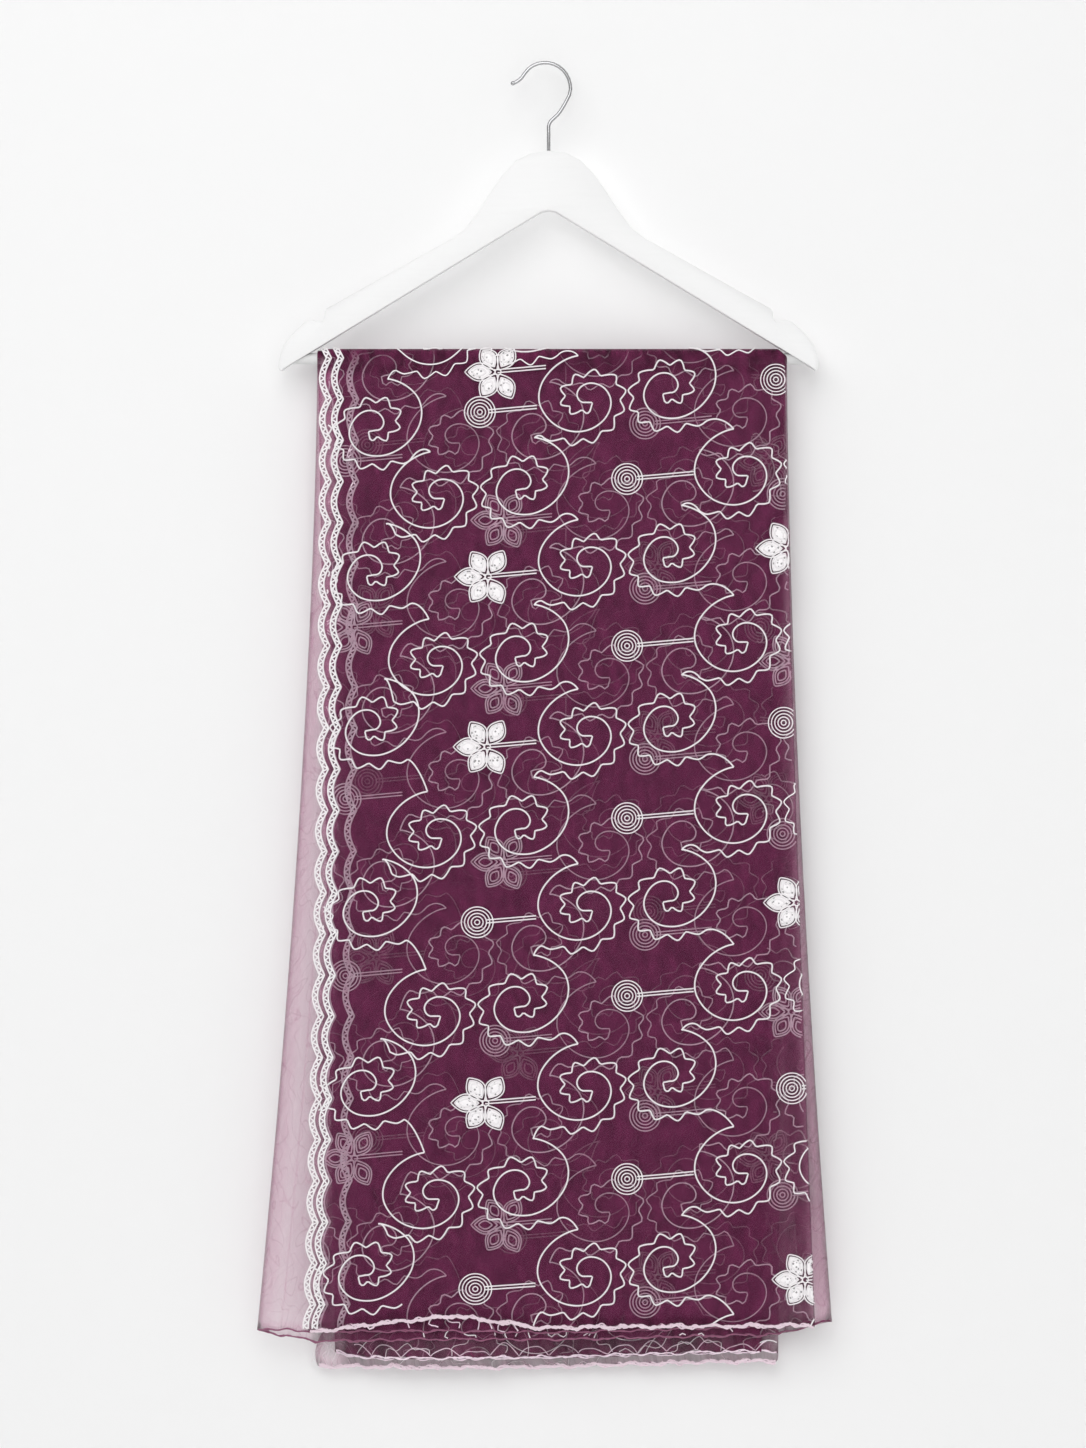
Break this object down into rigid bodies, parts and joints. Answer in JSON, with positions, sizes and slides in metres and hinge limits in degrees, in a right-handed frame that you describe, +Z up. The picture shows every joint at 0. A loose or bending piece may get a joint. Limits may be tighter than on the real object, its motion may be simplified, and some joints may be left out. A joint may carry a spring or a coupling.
{
  "type": "dupatta stole on hanger",
  "caption": "Sheer net dupatta stole with scalloped embroidered edge tapes, folded lengthwise and hung over the bar of a wooden hanger with a wire hook.",
  "frame": {"origin": "inner top of the hook, where the hanger hangs on a rail or peg", "axes": "+Z up along the hanging height, +Y through the thin depth from the front of the cloth to its back, +X along the hanger's bar to the right as seen from the front"},
  "size_m": [0.4756, 0.0325, 1.0857],
  "materials": {
    "net": "sheer plum net, soft sheen",
    "thread": "near-white embroidery cord, satin",
    "wood": "white painted, satin",
    "wire": "polished wire"
  },
  "bodies": {
    "root": {"front_face": "net", "front_fold": "net", "back_face": "net", "back_fold": "net", "front_tape_outer": "thread", "front_tape_inner": "thread", "back_tape_outer": "thread", "back_tape_inner": "thread", "front_hem_roll": "thread", "back_hem_roll": "thread", "front_flower_12": "thread", "front_flower_13": "thread", "front_flower_15": "thread", "front_flower_32": "thread", "front_flower_34": "thread", "front_flower_36": "thread", "front_disc_11": "thread", "front_disc_14": "thread", "front_disc_16": "thread", "front_disc_21": "thread", "front_disc_22": "thread", "front_disc_23": "thread", "front_disc_24": "thread", "front_disc_25": "thread", "front_disc_31": "thread", "front_disc_33": "thread", "front_disc_35": "thread", "back_flower_12": "thread", "back_flower_13": "thread", "back_flower_15": "thread", "back_flower_32": "thread", "back_flower_34": "thread", "back_disc_11": "thread", "back_disc_14": "thread", "back_disc_16": "thread", "back_disc_21": "thread", "back_disc_22": "thread", "back_disc_23": "thread", "back_disc_24": "thread", "back_disc_25": "thread", "back_disc_31": "thread", "back_disc_33": "thread", "back_disc_35": "thread", "hanger_body": "wood", "hanger_bar": "wood", "hook": "wire"}
  },
  "joints": []
}
